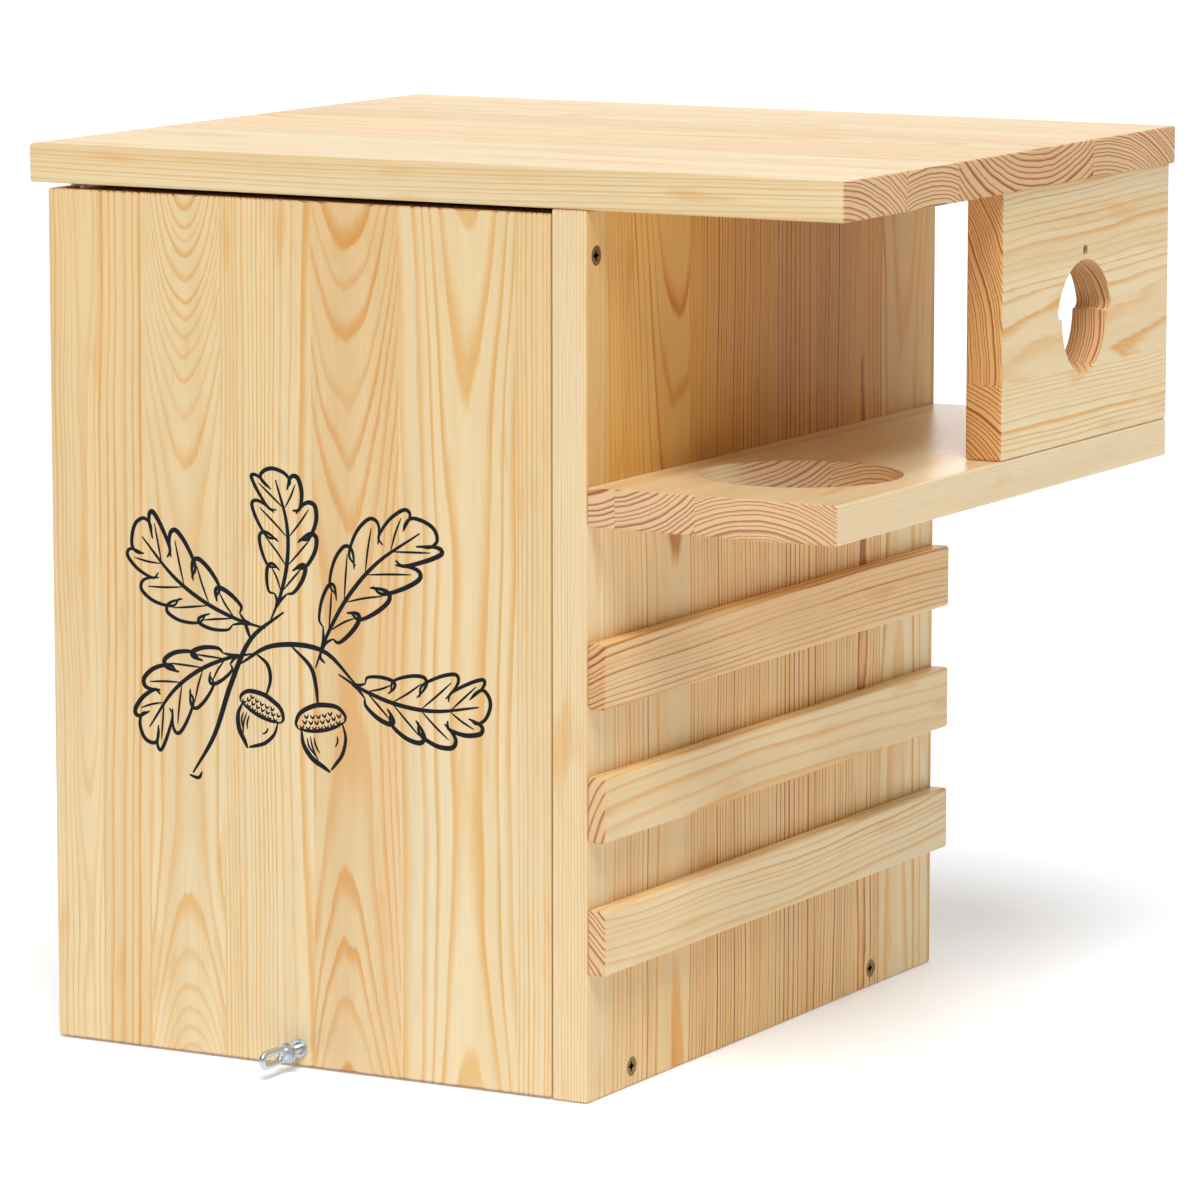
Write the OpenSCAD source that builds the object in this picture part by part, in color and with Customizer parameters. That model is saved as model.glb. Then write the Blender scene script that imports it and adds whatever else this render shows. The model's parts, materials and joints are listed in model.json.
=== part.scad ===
// Squirrel house of edge-glued pine boards: a box with a top-hung front door, a roofed
// feeding balcony on its right side and three climbing slats below the balcony shelf.
// Frame: X to the right, Y to the back, Z up. The origin is the centre of the box's base.

/* [Boards] */
// Thickness of every pine board
board = 18; // [14:0.5:24]
// Gap between a part that turns and the boards beside it
door_gap = 0.5; // [0.3:0.1:1.5]
// Gap between the closed door's back and the front edges behind it
door_back_gap = 0.3; // [0.3:0.1:1.5]

/* [House] */
// Width over both side walls
house_w = 285; // [220:1:380]
// Depth from the front face to the back face
house_d = 350; // [300:1:440]
// Height of the walls up to the underside of the roof
house_h = 403; // [380:1:520]
// Roof overhang on the left side
roof_left = 10; // [0:1:40]
// Roof overhang on the right side, past the balcony's outer face
roof_right = 3; // [0:1:30]

/* [Entrance and fixing holes] */
// Diameter of the entrance hole in the left wall
entrance_d = 70; // [50:1:90]
// Centre of the entrance hole, from the front face
entrance_y = 205; // [150:1:230]
// Centre of the entrance hole, down from the underside of the roof
entrance_drop = 103; // [90:1:150]
// Diameter of the two fixing holes in the back wall
fixing_d = 6.4; // [4:0.2:10]
// Height of the lower fixing hole
fixing_low = 60; // [40:1:100]
// Distance between the two fixing holes
fixing_pitch = 300; // [200:1:310]

/* [Balcony] */
// Width of the shelf, out from the right wall
shelf_w = 124; // [110:1:180]
// Height of the balcony between the shelf and the roof
balcony_h = 123; // [110:1:160]
// Length of the outer panel, from the back
panel_len = 185; // [140:1:230]
// Diameter of the bowl hole in the shelf
bowl_d = 92; // [60:1:96]
// Centre of the bowl hole, from the front face
bowl_y = 87; // [76:1:110]

/* [Acorn window] */
// Centre of the window, from the front end of the outer panel
acorn_y = 90; // [70:1:100]
// Top of the cap, down from the underside of the roof
acorn_drop = 38; // [36:1:46]
// Height of the cap
cap_h = 26; // [20:1:30]
// Radius of the round cap
cap_r = 29.8; // [28:0.1:32]
// Rounding of the cap's lower corners
cap_corner_r = 3.5; // [2:0.1:5]
// Half width of the nut where it leaves the cap
nut_half_w = 24.5; // [20:0.5:25]
// Height of the nut, from the cap to its tip
nut_h = 28; // [24:1:30]
// Diameter of the stem hole above the cap
stem_d = 5; // [3:0.5:6]
// Wood left between the stem hole and the cap
stem_web = 2; // [1.5:0.5:4]

/* [Climbing slats] */
// Thickness of a slat
slat_t = 9; // [7:0.5:14]
// Height of a slat
slat_h = 30; // [20:1:36]
// Gap between the shelf's underside and the top slat
slat_drop = 52; // [30:1:60]
// Distance from one slat to the next
slat_pitch = 60.5; // [50:0.5:65]

/* [Door] */
// Height of the door's turning axis, down from the underside of the roof
pivot_drop = 20.7; // [19:0.1:26]
// Gap that the door's top corner keeps from the roof as it swings past
swing_gap = 0.3; // [0.3:0.1:0.6]
// Gap under the closed door
foot_gap = 0.8; // [0.5:0.1:4]
// Furthest opening angle, where the hook's shank meets the end of its slot
open_max = 95; // [80:1:98]

/* [Pivot hook] */
// Diameter of the hook's wire
hook_d = 4.4; // [3:0.1:5]
// Bend radius, at the middle of the wire
hook_bend_r = 5; // [4:0.5:6]
// Length of the arm that the door turns on
hook_arm = 16; // [10:1:30]
// Length of the shank inside the left wall
hook_grip = 30; // [20:1:50]
// Play on each side of the wire in its slot
hook_play = 0.6; // [0.4:0.1:1.5]

/* [Latch] */
// Diameter of the latch screw's thread
latch_d = 4.9; // [4:0.1:6]
// Thread pitch of the latch screw
latch_pitch = 0.8; // [0.5:0.1:1.5]
// How many turns drive the latch screw home
latch_turns = 11; // [6:1:12]
// How far the closed latch reaches into the floor's front edge
latch_reach = 7; // [4:0.5:8]
// Diameter of the insert's body, pressed into the door
insert_d = 7.5; // [7:0.1:9]
// Length of the insert's body
insert_len = 12; // [8:0.5:13]
// Diameter of the insert's flange
flange_d = 8.6; // [8.6:0.1:12]
// Thickness of the insert's flange
flange_t = 1.2; // [0.8:0.1:2]
// Diameter of the latch washer
washer_d = 9.4; // [8:0.1:12]
// Thickness of the latch washer
washer_t = 1.4; // [0.8:0.1:2]
// Diameter of the eye's shoulder
shoulder_d = 8.4; // [7:0.1:10]
// Thickness of the eye's shoulder
shoulder_t = 2; // [1:0.1:3]
// Length of the neck between the shoulder and the eye
neck_len = 2.6; // [2:0.1:5]
// Wire diameter of the oval eye
eye_wire_d = 3.2; // [2:0.1:3.4]
// Width over the oval eye
eye_w = 9; // [8:0.5:14]
// Length over the oval eye
eye_len = 19; // [14:0.5:28]

/* [Wood screws and dowels] */
// Head diameter of the large wood screws
head_d = 9; // [7:0.5:10]
// Shank diameter of the large wood screws
shank_d = 4.5; // [3.5:0.1:5]
// Length of the large wood screws
screw_len = 45; // [38:1:50]
// Head diameter of the slat screws
slat_head_d = 7; // [5:0.5:8]
// Shank diameter of the slat screws
slat_shank_d = 3.5; // [2.5:0.1:4]
// Bite of a slat screw in its slat
slat_bite = 6; // [3:0.5:6.5]
// How far a screw head is sunk below the wood
head_sink = 0.3; // [0.1:0.1:0.6]
// Diameter of the wooden dowels
dowel_d = 8; // [6:0.5:10]
// Length of the wooden dowels
dowel_len = 30; // [20:1:34]
// First floor screw, from the front face
floor_screw_front = 42; // [30:1:80]
// Last floor screw, from the back face
floor_screw_back = 66; // [40:1:100]
// Distance of the end screws and dowels from a board's end
end_margin = 20; // [14:1:30]

/* [Hidden] */
$fn = 64;

// Clearances
glue_gap = 0.05;    // round a screw or dowel that sits fast in its hole
turn_gap = 0.08;    // round a shaft that turns in its hole
face_gap = 0.2;     // between the washer and the eye's shoulder
tip_gap = 0.6;      // round the latch's tip in the floor
spare = 1;          // cutters run this far past a face, and holes past their screw

// Box faces
x_left = -house_w / 2;
x_right = house_w / 2;
y_front = -house_d / 2;
y_back = house_d / 2;
in_left = x_left + board;
in_right = x_right - board;
in_back = y_back - board;
behind_y = y_front + board + door_back_gap;

// Balcony
shelf_z = house_h - balcony_h - board;
shelf_right = x_right + shelf_w;
panel_x = shelf_right - board;
panel_front = y_back - panel_len;
bowl_place = [x_right + shelf_w / 2, y_front + bowl_y, shelf_z];

// Slats, from the top one down
slat_low_z = [for (i = [0:2]) shelf_z - slat_drop - slat_h - i * slat_pitch];

// Door and its turning axis
pivot_y = y_front + board / 2;
pivot_z = house_h - pivot_drop;
corner_r = pivot_drop - swing_gap;
door_top = pivot_z + sqrt(corner_r * corner_r - board * board / 4);
door_right = in_right - door_gap;
door_mid = (x_left + door_right) / 2;

// Pivot hook, in the middle of the left wall's edge
hook_r = hook_d / 2;
hook_x = x_left + board / 2;
slot_left = hook_x - hook_r - hook_play;
slot_right = hook_x + hook_bend_r + hook_play;
over_top = max(0, open_max - 90);
slot_depth = corner_r * tan(over_top) + hook_r / cos(over_top) + swing_gap;

// Latch, on the middle of the door and the floor's edge; y values count from the door's face
latch_z = board / 2;
latch_travel = latch_pitch * latch_turns;
washer_back = -flange_t - face_gap - latch_travel;
shoulder_back = washer_back - washer_t - face_gap;
neck_back = shoulder_back - shoulder_t;
eye_back = neck_back - neck_len;
eye_wire_r = eye_wire_d / 2;
eye_loop_r = eye_w / 2 - eye_wire_r;
eye_span = eye_len - eye_w;
latch_tip = board + door_back_gap + latch_reach - latch_travel;
thread_depth = latch_pitch * 0.55;

// Fastener places, each [x, y, z] at the wood's surface
floor_screw_ys = [y_front + floor_screw_front, y_back - floor_screw_back];
floor_places_right = [for (y = floor_screw_ys) [x_right, y, board / 2]];
floor_places_left = [for (y = floor_screw_ys) [x_left, y, board / 2]];
back_places = [for (x = [-1, 1] * house_w / 4) [x, y_back, board / 2]];
side_screw_ys = [y_front + end_margin, 0, y_back - end_margin];
shelf_places = [for (y = side_screw_ys) [in_right, y, shelf_z + board / 2]];
panel_screw_ys = [panel_front + end_margin, y_back - end_margin];
panel_places = [for (y = panel_screw_ys) [panel_x + board / 2, y, shelf_z]];
slat_screw_ys = [y_front + 2 * end_margin, y_back - 2 * end_margin];
slat_places = [for (z = slat_low_z, y = slat_screw_ys) [in_right, y, z + slat_h / 2]];
slat_screw_len = board + slat_bite;
pivot_place = [x_right, pivot_y, pivot_z];

// Dowel places, each [x, y, z] at the glued face, where half of the dowel is on each side
roof_dowel_ys = [y_front + 4 * end_margin, y_back - 3 * end_margin];
roof_dowel_places = concat(
    [for (x = [x_left, in_right], y = roof_dowel_ys) [x + board / 2, y, house_h]],
    [for (x = [-1, 1] * house_w / 6) [x, y_back - board / 2, house_h]]
);
back_dowel_zs = [for (i = [1:3]) i * house_h / 4];
back_dowel_places = [for (x = [in_left, in_right], z = back_dowel_zs) [x, y_back - board / 2, z]];
panel_dowel_places = [for (y = panel_screw_ys) [panel_x + board / 2, y, house_h]];
dowel_bite = board * 0.6;    // depth of a dowel in a board's face, the rest is in the edge

pine = [0.90, 0.80, 0.62];
pale_pine = [0.93, 0.85, 0.69];
beech = [0.80, 0.65, 0.47];
zinc = [0.74, 0.78, 0.82];
bronze = [0.52, 0.42, 0.27];

// A board between two opposite corners
module plank(low, high) {
    translate(low) cube(high - low);
}

// Turns a shape drawn along +Z so that it runs along +X, -X, +Y or -Y
module to_right() { rotate([0, 90, 0]) children(); }
module to_left() { rotate([0, -90, 0]) children(); }
module to_back() { rotate([-90, 0, 0]) children(); }
module to_front() { rotate([90, 0, 0]) children(); }

// Countersunk wood screw along +Z, with the top of its head at z = 0
module wood_screw(length, shank, head) {
    cone_h = (head - shank) / 2;
    tip_h = shank;
    slot_w = head * 0.13;
    slot_l = head * 0.52;
    recess = cone_h * 0.8;
    difference() {
        union() {
            cylinder(h = cone_h, d1 = head, d2 = shank);
            cylinder(h = length - tip_h, d = shank);
            translate([0, 0, length - tip_h]) cylinder(h = tip_h, d1 = shank, d2 = shank * 0.2);
        }
        for (turn = [0, 90]) rotate(turn)
            translate([-slot_l / 2, -slot_w / 2, -spare]) cube([slot_l, slot_w, recess + spare]);
        translate([0, 0, -glue_gap])
            cylinder(h = recess, d1 = slot_l * 0.62, d2 = slot_w);
    }
}

// The hole that a wood screw sits in, with its countersink open to the surface above
module screw_hole(length, shank, head, gap) {
    cone_h = (head - shank) / 2;
    cylinder(h = length + spare, d = shank + 2 * gap);
    cylinder(h = cone_h, d1 = head + 2 * gap, d2 = shank + 2 * gap);
    translate([0, 0, -head_sink - spare]) cylinder(h = head_sink + spare, d = head + 2 * gap);
}

// Large screw and slat screw, and their holes, sunk below the surface at z = 0
module large_screw() { translate([0, 0, head_sink]) wood_screw(screw_len, shank_d, head_d); }
module large_hole(gap = glue_gap) {
    translate([0, 0, head_sink]) screw_hole(screw_len, shank_d, head_d, gap);
}
module slat_screw() {
    translate([0, 0, head_sink]) wood_screw(slat_screw_len, slat_shank_d, slat_head_d);
}
module slat_hole() {
    translate([0, 0, head_sink]) screw_hole(slat_screw_len, slat_shank_d, slat_head_d, glue_gap);
}

// Dowel along +Z that enters the board above the glued face by dowel_bite
module dowel(gap = 0) {
    length = dowel_len + 2 * gap;
    translate([0, 0, dowel_bite + gap - length]) cylinder(h = length, d = dowel_d + 2 * gap);
}

// Dowels of the roof, the back wall's edges and the outer panel, or with a gap their holes
module roof_dowel_set(gap = 0) {
    for (place = roof_dowel_places) translate(place) dowel(gap);
}
module back_dowel_set(gap = 0) {
    for (place = back_dowel_places) translate(place)
        rotate([0, sign(place[0]) * 90, 0]) dowel(gap);
}
module panel_dowel_set(gap = 0) {
    for (place = panel_dowel_places) translate(place) dowel(gap);
}

module roof() color(pine) difference() {
    plank([x_left - roof_left, y_front, house_h],
          [shelf_right + roof_right, y_back, house_h + board]);
    roof_dowel_set(glue_gap);
    panel_dowel_set(glue_gap);
}

module left_wall() color(pine) difference() {
    plank([x_left, behind_y, 0], [in_left, y_back, house_h]);
    // Round relief that the door's top corner swings through
    translate([x_left - spare, pivot_y, pivot_z]) to_right()
        cylinder(h = board + 2 * spare, r = pivot_drop);
    translate([x_left - spare, y_front + entrance_y, house_h - entrance_drop]) to_right()
        cylinder(h = board + 2 * spare, d = entrance_d);
    for (place = floor_places_left) translate(place) to_right() large_hole();
    translate([hook_x, pivot_y, pivot_z]) to_back()
        cylinder(h = pivot_drop + hook_grip + spare, r = hook_r + glue_gap);
    roof_dowel_set(glue_gap);
    back_dowel_set(glue_gap);
}

module right_wall() color(pale_pine) difference() {
    plank([in_right, y_front, 0], [x_right, y_back, house_h]);
    translate(pivot_place) to_left() large_hole(turn_gap);
    for (place = floor_places_right) translate(place) to_left() large_hole();
    for (place = shelf_places) translate(place) to_right() large_hole();
    for (place = slat_places) translate(place) to_right() slat_hole();
    roof_dowel_set(glue_gap);
    back_dowel_set(glue_gap);
}

module back_wall() color(pine) difference() {
    plank([in_left, in_back, 0], [in_right, y_back, house_h]);
    for (i = [0, 1]) translate([0, y_back + spare, fixing_low + i * fixing_pitch]) to_front()
        cylinder(h = board + 2 * spare, d = fixing_d);
    for (place = back_places) translate(place) to_front() large_hole();
    roof_dowel_set(glue_gap);
    back_dowel_set(glue_gap);
}

module floor() color(pine) difference() {
    plank([in_left, behind_y, 0], [in_right, in_back, board]);
    for (place = floor_places_left) translate(place) to_right() large_hole();
    for (place = floor_places_right) translate(place) to_left() large_hole();
    for (place = back_places) translate(place) to_front() large_hole();
    // Blind hole for the latch's tip
    translate([door_mid, behind_y - spare, latch_z]) to_back()
        cylinder(h = latch_reach + 2 * spare, d = latch_d + 2 * tip_gap);
}

module shelf() color(pine) difference() {
    plank([x_right, y_front, shelf_z], [shelf_right, y_back, shelf_z + board]);
    translate(bowl_place - [0, 0, spare]) cylinder(h = board + 2 * spare, d = bowl_d);
    for (place = shelf_places) translate(place) to_right() large_hole();
    for (place = panel_places) translate(place) large_hole();
}

// Acorn outline: x runs to the back, y up, and the origin is the middle of the cap's underside
module acorn_outline() {
    cap_mid = cap_h - cap_r;
    corner_mid = sqrt(cap_r * cap_r - pow(cap_corner_r - cap_mid, 2)) - cap_corner_r;
    nut_r = (nut_h * nut_h + nut_half_w * nut_half_w) / (2 * nut_half_w);
    intersection() {
        translate([0, cap_mid]) circle(r = cap_r);
        translate([-cap_r, cap_corner_r]) square([2 * cap_r, cap_h]);
    }
    translate([-corner_mid, 0]) square([2 * corner_mid, cap_corner_r]);
    for (side = [-1, 1]) translate([side * corner_mid, cap_corner_r]) circle(r = cap_corner_r);
    intersection() {
        translate([nut_r - nut_half_w, 0]) circle(r = nut_r);
        translate([nut_half_w - nut_r, 0]) circle(r = nut_r);
        translate([-nut_half_w, -nut_h]) square([2 * nut_half_w, nut_h + cap_corner_r]);
    }
}

module outer_panel() color(pale_pine) difference() {
    acorn_mid = panel_front + acorn_y;
    cap_under = house_h - acorn_drop - cap_h;
    plank([panel_x, panel_front, shelf_z + board], [shelf_right, y_back, house_h]);
    translate([panel_x - spare, acorn_mid, cap_under]) rotate([90, 0, 90])
        linear_extrude(board + 2 * spare) acorn_outline();
    translate([panel_x - spare, acorn_mid, cap_under + cap_h + stem_web + stem_d / 2]) to_right()
        cylinder(h = board + 2 * spare, d = stem_d);
    for (place = panel_places) translate(place) large_hole();
    panel_dowel_set(glue_gap);
}

module slat(low_z) color(pale_pine) difference() {
    plank([x_right, y_front, low_z], [x_right + slat_t, y_back, low_z + slat_h]);
    for (place = slat_places) translate(place) to_right() slat_hole();
}
module slat_top() slat(slat_low_z[0]);
module slat_middle() slat(slat_low_z[1]);
module slat_bottom() slat(slat_low_z[2]);

module door() color(pale_pine) difference() {
    plank([x_left, y_front, foot_gap], [door_right, y_front + board, door_top]);
    translate(pivot_place) to_left() large_hole();
    // Slot for the hook's shank, open to the back and the top, and the bore for its arm
    plank([slot_left, pivot_y - slot_depth, pivot_z - hook_r - hook_play],
          [slot_right, y_front + board + spare, door_top + spare]);
    translate([hook_x, pivot_y, pivot_z]) to_right()
        cylinder(h = hook_bend_r + hook_arm + spare, r = hook_r + turn_gap);
    // Seat of the latch insert, and the way through for the latch's tip
    translate([door_mid, y_front - spare, latch_z]) to_back() {
        cylinder(h = insert_len + spare + glue_gap, d = insert_d + 2 * glue_gap);
        cylinder(h = board + 2 * spare, d = latch_d + 2 * turn_gap);
    }
}

module pivot_screw() color(bronze) translate(pivot_place) to_left() large_screw();

// Square-bend screw hook: its shank is in the left wall, and its arm carries the door
module pivot_hook() color(zinc) translate([hook_x, pivot_y, pivot_z]) {
    translate([0, hook_bend_r, 0]) to_back()
        cylinder(h = pivot_drop - hook_bend_r + hook_grip, r = hook_r);
    translate([hook_bend_r, hook_bend_r, 0]) rotate(180)
        rotate_extrude(angle = 90) translate([hook_bend_r, 0]) circle(r = hook_r);
    translate([hook_bend_r, 0, 0]) to_right() cylinder(h = hook_arm, r = hook_r);
}

module latch_insert() color(zinc) translate([door_mid, y_front, latch_z]) to_back() difference() {
    union() {
        translate([0, 0, -flange_t]) cylinder(h = flange_t, d = flange_d);
        cylinder(h = insert_len, d = insert_d);
    }
    translate([0, 0, -flange_t - spare])
        cylinder(h = insert_len + flange_t + 2 * spare, d = latch_d + 2 * turn_gap);
}

module latch_washer() color(zinc) translate([door_mid, y_front + washer_back, latch_z])
    to_front() difference() {
        cylinder(h = washer_t, d = washer_d);
        translate([0, 0, -spare]) cylinder(h = washer_t + 2 * spare, d = latch_d + 2 * turn_gap);
    }

// Eye screw: threaded shank, shoulder, neck and an oval wire eye
module latch_screw() color(zinc) translate([door_mid, y_front, latch_z]) {
    shank_end = latch_tip - latch_d / 2;
    turns_shown = floor((shank_end - shoulder_back) / latch_pitch);
    translate([0, shoulder_back, 0]) to_back() {
        cylinder(h = shank_end - shoulder_back, d = latch_d - 2 * thread_depth);
        for (i = [0:turns_shown - 1]) translate([0, 0, i * latch_pitch]) thread_ridge();
        translate([0, 0, shank_end - shoulder_back])
            cylinder(h = latch_d / 2, d1 = latch_d - 2 * thread_depth, d2 = latch_d / 3);
    }
    translate([0, shoulder_back, 0]) to_front() {
        cylinder(h = shoulder_t, d = shoulder_d);
        translate([0, 0, shoulder_t])
            cylinder(h = neck_len, d1 = shoulder_d * 0.8, d2 = eye_wire_d * 1.5);
    }
    translate([0, eye_back + eye_wire_r, 0]) eye();
}

// One ridge of the thread, drawn as a ring
module thread_ridge() {
    half = latch_pitch / 2;
    core_d = latch_d - 2 * thread_depth;
    cylinder(h = half, d1 = core_d, d2 = latch_d);
    translate([0, 0, half]) cylinder(h = half, d1 = latch_d, d2 = core_d);
}

// Upright oval eye that runs to the front from y = 0
module eye() {
    ends = [[-eye_w / 2, 0], [-eye_w / 2 - eye_span, 180]];
    for (end = ends) translate([0, end[0], 0]) rotate([0, 90, 0]) rotate(end[1])
        rotate_extrude(angle = 180) translate([eye_loop_r, 0]) circle(r = eye_wire_r);
    for (z = [-1, 1] * eye_loop_r) translate([0, -eye_w / 2, z]) to_front()
        cylinder(h = eye_span, r = eye_wire_r);
}

module floor_screws_left() color(bronze)
    for (place = floor_places_left) translate(place) to_right() large_screw();
module floor_screws_right() color(bronze)
    for (place = floor_places_right) translate(place) to_left() large_screw();
module back_screws() color(bronze)
    for (place = back_places) translate(place) to_front() large_screw();
module shelf_screws() color(bronze)
    for (place = shelf_places) translate(place) to_right() large_screw();
module panel_screws() color(bronze)
    for (place = panel_places) translate(place) large_screw();
module slat_screws() color(bronze)
    for (place = slat_places) translate(place) to_right() slat_screw();
module roof_dowels() color(beech) roof_dowel_set();
module back_dowels() color(beech) back_dowel_set();
module panel_dowels() color(beech) panel_dowel_set();

roof();
left_wall();
right_wall();
back_wall();
floor();
shelf();
outer_panel();
slat_top();
slat_middle();
slat_bottom();
door();
pivot_screw();
pivot_hook();
latch_insert();
latch_washer();
latch_screw();
floor_screws_left();
floor_screws_right();
back_screws();
shelf_screws();
panel_screws();
slat_screws();
roof_dowels();
back_dowels();
panel_dowels();
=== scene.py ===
"""A squirrel house of edge-glued pine boards in soft studio light.

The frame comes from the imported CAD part, in metres. Every board is a clean copy of its
CAD node with rounded edges, and its grain is cut from one solid pattern of growth rings.
"""

import json
import math
import random
from collections import namedtuple

import bmesh
import bpy
from mathutils import Matrix, Vector

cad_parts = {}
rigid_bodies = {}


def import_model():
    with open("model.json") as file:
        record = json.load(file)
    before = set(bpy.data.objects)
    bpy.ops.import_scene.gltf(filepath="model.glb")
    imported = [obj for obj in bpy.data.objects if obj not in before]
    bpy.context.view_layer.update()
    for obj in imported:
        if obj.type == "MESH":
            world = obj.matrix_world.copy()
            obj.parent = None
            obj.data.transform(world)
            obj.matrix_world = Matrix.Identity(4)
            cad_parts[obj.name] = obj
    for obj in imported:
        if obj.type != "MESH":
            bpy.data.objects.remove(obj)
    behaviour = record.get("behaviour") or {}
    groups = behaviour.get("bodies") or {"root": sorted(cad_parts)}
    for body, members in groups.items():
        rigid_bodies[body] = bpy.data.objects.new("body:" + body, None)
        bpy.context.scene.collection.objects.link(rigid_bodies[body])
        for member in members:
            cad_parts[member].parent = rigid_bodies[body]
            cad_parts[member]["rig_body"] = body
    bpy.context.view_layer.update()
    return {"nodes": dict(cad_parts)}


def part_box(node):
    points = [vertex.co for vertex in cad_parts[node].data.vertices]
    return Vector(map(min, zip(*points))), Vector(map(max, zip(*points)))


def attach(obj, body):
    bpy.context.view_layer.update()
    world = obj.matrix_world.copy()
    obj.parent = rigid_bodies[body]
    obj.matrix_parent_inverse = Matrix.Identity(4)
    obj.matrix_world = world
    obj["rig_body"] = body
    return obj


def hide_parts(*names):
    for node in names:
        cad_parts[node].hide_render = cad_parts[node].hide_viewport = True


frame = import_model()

MM = 0.001

# One key light comes from above the camera. The white room adds light that differs from
# its sides, top, front and back, and a glare low behind the house on the left.
KEY_FROM = (0.25, -0.48, 0.84)
KEY_POWER = 2.15
KEY_SPREAD = 27
SIDE_LIGHT = (0.05, 0.05, 0.05, 1)
TOP_LIGHT = (0.36, 0.36, 0.365, 1)
FRONT_LIGHT = (0.36, 0.36, 0.36, 1)
BACK_LIGHT = (1.0, 1.0, 1.01, 1)
GLARE_LIGHT = (2.1, 2.1, 2.14, 1)
BACKDROP = (0.992, 0.992, 0.992, 1)
PHOTO_GAMMA = 0.88

# Where each of the room's lights sets in and is full, as parts of a direction's length.
# The glare has one such pair for each axis.
TOP_SPAN = (0.0, 0.8)
BACK_SPAN = (0.1, 0.95)
FRONT_SPAN = (-0.1, -0.9)
GLARE_SPANS = ((0.1, -0.2), (0.5, 0.9), (0.45, 0.15))

# The studio floor reaches this far each way, and lies just under the house
FLOOR_REACH = 14.0
FLOOR_DROP = 0.0002
FLOOR_WHITE = (0.86, 0.885, 0.915, 1)
FLOOR_GLOW = 0.2
FLOOR_ROUGHNESS = 0.85
FLOOR_SHINE = 0.15

# The photograph's viewpoint: the camera's place in metres, its turn and its fall in
# degrees, its lens and sensor in millimetres, and how far it sees in metres
CAMERA_AT = (1.4950, -2.5975, 0.6605)
CAMERA_TURN = 29.054
CAMERA_FALL = 8.829
CAMERA_LENS = 189.63
CAMERA_SENSOR = 36
CAMERA_END = 60

# Where each board's grain runs: the axis across its staves, through it and along the grain
UPRIGHT_FRONT = (0, 1, 2)
UPRIGHT_SIDE = (1, 0, 2)
ROOF_RUN = (1, 2, 0)
SHELF_RUN = (0, 2, 1)
PANEL_RUN = (2, 0, 1)

# One glued stave, in millimetres from the board's low corner. The pith lies at heart
# across and deep through the board. It leans by tilt, and bends by bow where the place
# along the grain is more than level away from at. Warmth turns the wood pink, tone
# deepens it, and seed picks its own wanderings.
Stave = namedtuple("Stave", "end heart deep ring bow at level tilt wander warmth contrast "
                   "tone seed")

DOOR_STAVES = [
    Stave(26.5, 19, -11, 2.1, 0.0, 200, 0, 1.0, 3.0, 0.15, 0.75, 0.08, 1),
    Stave(53, 2, -36, 3.6, 0.0, 200, 0, 1.5, 1.6, 0.25, 1.0, 0.12, 2),
    Stave(93.5, 75, 32, 2.2, -9.0, 175, 60, 0.0, 1.8, 0.10, 0.75, 0.05, 3),
    Stave(142, 148, 40, 1.7, 0.3, 200, 0, 0.0, 1.0, 0.05, 1.1, 0.05, 4),
    Stave(188, 160, 52, 2.3, -2.8, 150, 10, 1.0, 1.8, 0.6, 1.05, 0.05, 5),
    Stave(249, 224, 24, 5.2, -3.0, 170, 60, 0.0, 3.0, 0.0, 1.1, 0.0, 6),
    Stave(267, 330, 30, 2.0, 0.0, 200, 0, 0.0, 1.2, 0.1, 0.9, 0.05, 7),
]
RIGHT_WALL_STAVES = [
    Stave(19, 32, 62, 1.4, 0.0, 200, 0, 0.0, 1.0, 0.3, 0.7, 0.0, 1),
    Stave(96, 84, 66, 3.2, -1.7, 60, 60, 1.0, 2.2, 0.1, 1.7, 0.38, 2),
    Stave(181, 60, 50, 2.8, 0.3, 200, 0, 0.0, 2.6, 0.35, 2.3, 0.5, 3),
    Stave(224, 150, 52, 4.6, 0.0, 200, 0, 0.0, 1.2, 0.4, 3.0, 0.5, 4),
    Stave(266, 168, 62, 2.6, 0.2, 200, 0, 0.0, 2.0, 0.2, 2.2, 0.5, 5),
    Stave(292, 272, 34, 2.0, 0.0, 200, 0, 0.0, 3.0, 0.3, 2.1, 0.5, 6),
    Stave(350, 312, 70, 4.0, -1.2, 100, 60, 1.0, 2.5, 0.0, 1.4, 0.12, 7),
]
ROOF_STAVES = [
    Stave(61, -5, -85, 2.4, 0.5, 200, 0, 1.0, 2.0, 0.1, 0.7, 0.06, 1),
    Stave(113, 86, -80, 2.2, 0.5, 200, 0, 1.0, 2.0, 0.2, 0.6, 0.06, 4),
    Stave(256, 200, 112, 3.1, 1.0, 150, 0, 0.0, 1.2, 0.5, 1.1, 0.14, 2),
    Stave(350, 264, -112, 1.8, -0.8, 250, 0, 1.0, 1.2, 0.3, 0.6, 0.06, 3),
]
SHELF_STAVES = [
    Stave(14, -8, 60, 3.8, 0.0, 150, 0, 0.0, 1.5, 0.1, 0.7, 0.12, 1),
    Stave(54, 8, 66, 2.4, -0.6, 170, 0, 0.0, 1.4, 0.1, 0.6, 0.12, 2),
    Stave(124, 84, -62, 1.7, 0.8, 150, 0, 0.0, 1.4, 0.0, 0.5, 0.2, 3),
]
PANEL_STAVES = [
    Stave(35, -34, -26, 2.1, 0.3, 100, 0, 0.5, 1.8, 0.0, 1.0, 0.15, 1),
    Stave(123, 44, -112, 1.55, 0.0, 60, 0, 1.2, 2.2, 0.0, 1.15, 0.15, 2),
]
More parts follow.
